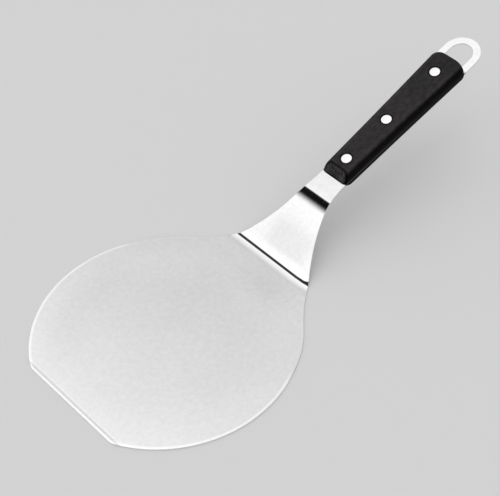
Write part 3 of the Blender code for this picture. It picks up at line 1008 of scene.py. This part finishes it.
def painted_shade_patches(flow, run, across, radius, profile):
    """Painted shade: soft darker places on the neck's middle, beside the fold, inside the rim and before
    the scales.
    """
    side = flow.maths("ABSOLUTE", across + NECK_MARK_SHIFT)
    neck_middle = run.beside(profile.neck_start, NECK_MIDDLE) * side.fall(*NECK_SIDE)
    before_fold = (run - profile.fold_start + FOLD_MARK_PLACE[0]) / FOLD_MARK_SIZE[0]
    beside = (across + FOLD_MARK_PLACE[1]) / FOLD_MARK_SIZE[1]
    fold_mark = flow.maths("SQRT", before_fold * before_fold + beside * beside).fall(0.0, 1.0)
    fold_mark = fold_mark * (1 - run.beside(profile.fold_start, FOLD_MARK_END))
    rim_mark = radius.hump(*RIM_SHADE) * across.step(*RIM_SHADE_SIDE)
    rim_mark = rim_mark * (1 - 2.2 * run.step(*RIM_SHADE_REAR))
    tang = run.beside(profile.bend_start, TANG_START) * (1 - run.beside(profile.zero_run, TANG_END))
    return neck_middle * 0.13 + fold_mark * 0.08 + rim_mark * 0.035 + tang * 0.07


def crease_shade_line(run, bow, profile):
    """Painted shade: a dark line in the crease on the inside of the fold, wider where it runs up."""
    start, full, fading, end = [crease_place(profile) + offset for offset in CREASE]
    wide = bow * CREASE_SPREAD
    return run.hump(start - wide, full - wide, fading + wide, end + wide)


def tang_shade(run, handle, profile):
    """Painted shade on the tang between the scales, darkest at the rear."""
    start = profile.zero_run + handle.start
    end = start + handle.reach
    edge = run.hump(start, start + TANG_FADE[0], end - TANG_FADE[1], end)
    return edge * (0.93 + 0.07 * run.step(start, end - TANG_DARK_REAR))


def rivet_steel(rivets):
    """Bright steel, ground flush with the handle."""
    material, flow, shader = new_finish("rivet_steel", {"Metallic": 1.0})
    scratch = flow.noise(flow.place(), *RIVET_SCRATCHES)
    tint = flow.shade(1 + (scratch - 0.5) * 0.06, tuple(rivets.steel))
    dress(flow, shader, tint, 0.2 + (scratch - 0.5) * 0.1, scratch, RIVET_RELIEF)
    return material


def dark_wood(handle, rivets):
    """Close-grained dark wood with open pores, dry on its flat faces, with painted shade on its rounded
    shoulders, along the edges of its front face and round the rivets, and a painted highlight beside the
    shoulders.
    """
    material, flow, shader = new_finish("dark_wood", {"Specular IOR Level": 0.03})
    place = flow.place()
    along, across, up = flow.split(place)
    streak = flow.noise(place, *WOOD_STREAKS)
    patch = flow.noise(place, *WOOD_PATCHES)
    mottle = flow.noise(place, *WOOD_MOTTLE)
    fibre = flow.noise(place, *WOOD_FIBRES)
    pore = flow.noise(place, *WOOD_PORES).step(0.60, 0.72)
    end_grain = flow.noise(place, *WOOD_END_GRAIN)
    face = along - up * (handle.front_slope / handle.height)
    front = 1 - face.beside(handle.start, SCALE_FRONT)
    tint = flow.mix(streak.step(0.40, 0.68), tuple(handle.wood), tuple(handle.warm_wood))
    tint = flow.mix(patch.step(0.48, 0.70) * 0.5, tint, tuple(handle.warm_wood))
    tint = flow.mix(front * end_grain.step(0.40, 0.62), tint, tuple(handle.dry_wood))
    shade = 1.19 + (mottle - 0.5) * 1.8 + (fibre - 0.5) * 0.8 + (patch - 0.5) * 0.7 - pore * 0.48
    # Painted shade on the rounded shoulders and a painted highlight on the ridge beside them
    shoulder, ridge = shoulders(flow, along, across, up, handle)
    rear = along.beside(handle.start + handle.reach, SCALE_REAR)
    shade = flow.maths("MAXIMUM", shade, 0.2) * (1 + 0.20 * ridge)
    rings = rivet_rings(flow, place, handle, rivets)
    lines = front_lines(handle, face, up, front)
    # Darker by the end grain's spots, by painted shade on the shoulders, round the rivets and along the
    # front face's edges, and towards the rear end
    shade = dimmed(shade, (0.45, front * end_grain.fall(0.38, 0.52)), (0.86, shoulder * (1 - front)),
                   (0.14, rear), (0.85, rings), (0.75, lines))
    rough = 0.50 + (streak - 0.5) * 0.16 + (fibre - 0.5) * 0.12 + pore * 0.25 + front * 0.12
    height = fibre * 0.35 + mottle * 0.5 - pore * 0.8 + front * end_grain * 1.2
    dress(flow, shader, flow.shade(shade, tint), rough - shoulder * 0.08, height, WOOD_RELIEF)
    return material


def shoulders(flow, along, across, up, handle):
    """Painted shade on the rounded shoulders of a scale, and a painted highlight on the ridge beside them
    on its flat face.
    """
    edge = swelled(handle, (along - handle.start) / handle.reach) - flow.maths("ABSOLUTE", across)
    ends = up.beside(handle.height, SHOULDER_TOP)
    return 1 - edge.step(*SHOULDER) * ends, edge.hump(*RIDGE)


def front_lines(handle, face, up, front):
    """Painted shade: dark lines along the upper and the lower edge of the front face."""
    upper = face.beside(handle.start, FRONT_UPPER_LINE)
    return upper + up.fall(*FRONT_LOWER_LINE) * front * (1 - upper)


def rivet_rings(flow, place, handle, rivets):
    """Painted shade: a thin dark line in the wood round each rivet."""
    flat = flow.stretch(place, (1.0, 1.0, 0.0))
    rings = 0.0
    for center in rivet_places(handle, rivets):
        sockets = {0: flat, 1: (center, 0.0, 0.0)}
        distance = flow.node("ShaderNodeVectorMath", sockets, {"operation": "DISTANCE"}, "Value")
        rings = rings + (1 - distance.beside(rivets.head_radius, RIVET_RING))
    return rings


def floor_finish(stage):
    """Plain matt floor."""
    values = {"Base Color": (*stage.floor, 1), "Roughness": 0.9, "Specular IOR Level": 0.0}
    return new_finish("floor", values)[0]


# The stage

# Parts of the dome, by the X, Y or Z of their direction: two for a soft step and four for a hump
DOME_RIGHT = (0.20, 0.46)
DOME_FAR_RIGHT = (0.55, 0.80)
DOME_LEFT = (-0.50, -0.42)
DOME_FAR_LEFT = (-0.90, -0.76)
DOME_BACK = (0.38, 0.66)
DOME_FRONT = (-0.85, -0.10)
DOME_LOW = (0.05, 0.45)
DOME_TOP = (0.93, 0.975)
DOME_GAP = (-0.535, -0.37, -0.245, -0.228)
DOME_GAP_START = (0.05, 0.30)


def studio_world(stage):
    """A soft dome, darker on the right, low down and at the front, with a narrow unlit gap on the left."""
    world = bpy.data.worlds.new("studio")
    world.use_nodes = True
    flow = Flow(world.node_tree)
    x, y, z = flow.split(flow.node("ShaderNodeTexCoord", {}, {}, "Generated"))
    right = x.step(*DOME_RIGHT) * (1 - 0.6 * x.step(*DOME_FAR_RIGHT))
    strength = 1.245 - 0.41 * right + 0.06 * x.fall(*DOME_LEFT) - 0.19 * y.step(*DOME_BACK)
    gap = x.hump(*DOME_GAP) * y.step(*DOME_GAP_START)
    dark = ((0.995, gap), (0.25, z.fall(*DOME_LOW)), (0.52, y.fall(*DOME_FRONT)),
            (0.14, z.step(*DOME_TOP)), (0.20, x.fall(*DOME_FAR_LEFT)))
    strength = dimmed(strength, *dark) * stage.light
    soft = flow.node("ShaderNodeBackground", {"Color": (1, 1, 1, 1), "Strength": strength})
    plain = flow.node("ShaderNodeBackground", {"Color": (*stage.backdrop, 1), "Strength": 1.0})
    seen = flow.node("ShaderNodeLightPath", {}, {}, "Is Camera Ray")
    both = flow.node("ShaderNodeMixShader", {0: seen, 1: soft, 2: plain})
    flow.node("ShaderNodeOutputWorld", {"Surface": both})
    bpy.context.scene.world = world


def make_floor(stage):
    shape = bmesh.new()
    bmesh.ops.create_circle(shape, cap_ends=True, segments=FLOOR_STEPS, radius=stage.floor_radius)
    floor = show("floor", mesh_from("floor", shape))
    set_material(floor, floor_finish(stage))


def make_camera():
    lens = bpy.data.cameras.new("camera")
    lens.sensor_fit = "HORIZONTAL"
    lens.sensor_width = CAMERA_SENSOR
    lens.lens = CAMERA_LENS
    lens.clip_start, lens.clip_end = CAMERA_NEAR, CAMERA_FAR
    camera = show("camera", lens)
    camera.location = CAMERA_PLACE
    camera.rotation_euler = [math.radians(turn) for turn in CAMERA_TURN]
    bpy.context.scene.camera = camera


# Operators

class LIFTER_OT_sheet(bpy.types.Operator):
    """Cut the flat blank, grind its front edge and bend it into blade, neck, tang and loop"""

    bl_idname = "cake_lifter.sheet"
    bl_label = "Bend the steel sheet"

    def execute(self, context):
        sheet, handle, rivets, profile = current()
        mesh = blank_mesh(sheet, blank_outlines(sheet, handle, rivets, profile))
        split_blank(mesh, sheet, profile)
        item = smooth(show("steel_sheet", mesh))
        flat = flat_normals(item.data)
        values = bending_values(sheet, profile, satin_steel(sheet, handle, profile))
        add_tree(item, bending_tree(values), values)
        settle(item)
        bend_normals(item.data, flat, sheet, profile)
        finish_piece(item, "satin_steel", "blade_and_tang")
        return {"FINISHED"}


class LIFTER_OT_scales(bpy.types.Operator):
    """Loft both handle scales, cut the rivet seats and lay the scales on the tang"""

    bl_idname = "cake_lifter.scales"
    bl_label = "Shape the handle scales"

    def execute(self, context):
        handle, rivets, profile = current()[1:]
        finish = dark_wood(handle, rivets)
        base = profile.half + rivets.seat_gap
        for name, side in (("wood_scale_upper", 1), ("wood_scale_lower", -1)):
            item = show(name, scale_mesh(handle))
            cut_rivet_seats(item, handle, rivets)
            keep_place(item.data)
            smooth(item, SCALE_SHARP_ANGLE)
            turn = Matrix.Rotation(0 if side > 0 else math.pi, 4, "X")
            lay = Matrix.Translation((0, 0, side * base)) @ turn
            item.data.transform(profile.axis() @ lay)
            set_material(item, finish)
            finish_piece(item, "dark_wood", name.replace("wood", "handle"))
        return {"FINISHED"}


class LIFTER_OT_rivets(bpy.types.Operator):
    """Turn both halves of a rivet and set three pairs along the handle"""

    bl_idname = "cake_lifter.rivets"
    bl_label = "Set the rivets"

    def execute(self, context):
        handle, rivets, profile = current()[1:]
        values = rivet_values(handle, rivets, profile, rivet_steel(rivets))
        tree = riveting_tree(values)
        halves = rivet_meshes(handle, rivets, profile.half)
        for side, mesh, over in zip(("upper", "lower"), halves, (0.0, 1.0)):
            keep_place(mesh)
            item = show(f"rivets_{side}", mesh)
            add_tree(item, tree, {**values, "Turned over": over})
            settle(item)
            smooth(item, RIVET_SHARP_ANGLE)
            nodes = [f"rivet_{place}_{side}" for place in ("front", "middle", "rear")]
            finish_piece(item, "rivet_steel", *nodes)
        return {"FINISHED"}


class LIFTER_OT_stage(bpy.types.Operator):
    """Set up the floor, the soft studio light and the camera"""

    bl_idname = "cake_lifter.stage"
    bl_label = "Set the stage"

    def execute(self, context):
        stage = context.scene.cake_lifter.stage
        make_floor(stage)
        studio_world(stage)
        make_camera()
        context.scene.view_settings.view_transform = "Standard"
        return {"FINISHED"}


class LIFTER_PT_panel(bpy.types.Panel):
    """The lifter's settings and the steps that make it"""

    bl_idname = "LIFTER_PT_panel"
    bl_label = "Cake lifter"
    bl_space_type = "VIEW_3D"
    bl_region_type = "UI"
    bl_category = "Cake lifter"

    def draw(self, context):
        own = context.scene.cake_lifter
        for operator, settings in ((LIFTER_OT_sheet, own.sheet), (LIFTER_OT_scales, own.handle),
                                   (LIFTER_OT_rivets, own.rivets), (LIFTER_OT_stage, own.stage)):
            box = self.layout.box()
            box.operator(operator.bl_idname)
            for name in settings.__annotations__:
                box.prop(settings, name)


CLASSES = (SheetSettings, HandleSettings, RivetSettings, StageSettings, LifterSettings, LIFTER_OT_sheet,
           LIFTER_OT_scales, LIFTER_OT_rivets, LIFTER_OT_stage, LIFTER_PT_panel)


def register():
    for one in CLASSES:
        bpy.utils.register_class(one)
    bpy.types.Scene.cake_lifter = PointerProperty(type=LifterSettings)


def unregister():
    del bpy.types.Scene.cake_lifter
    for one in reversed(CLASSES):
        bpy.utils.unregister_class(one)


def main():
    register()
    bpy.ops.cake_lifter.sheet()
    bpy.ops.cake_lifter.scales()
    bpy.ops.cake_lifter.rivets()
    bpy.ops.cake_lifter.stage()


if __name__ == "__main__":
    main()
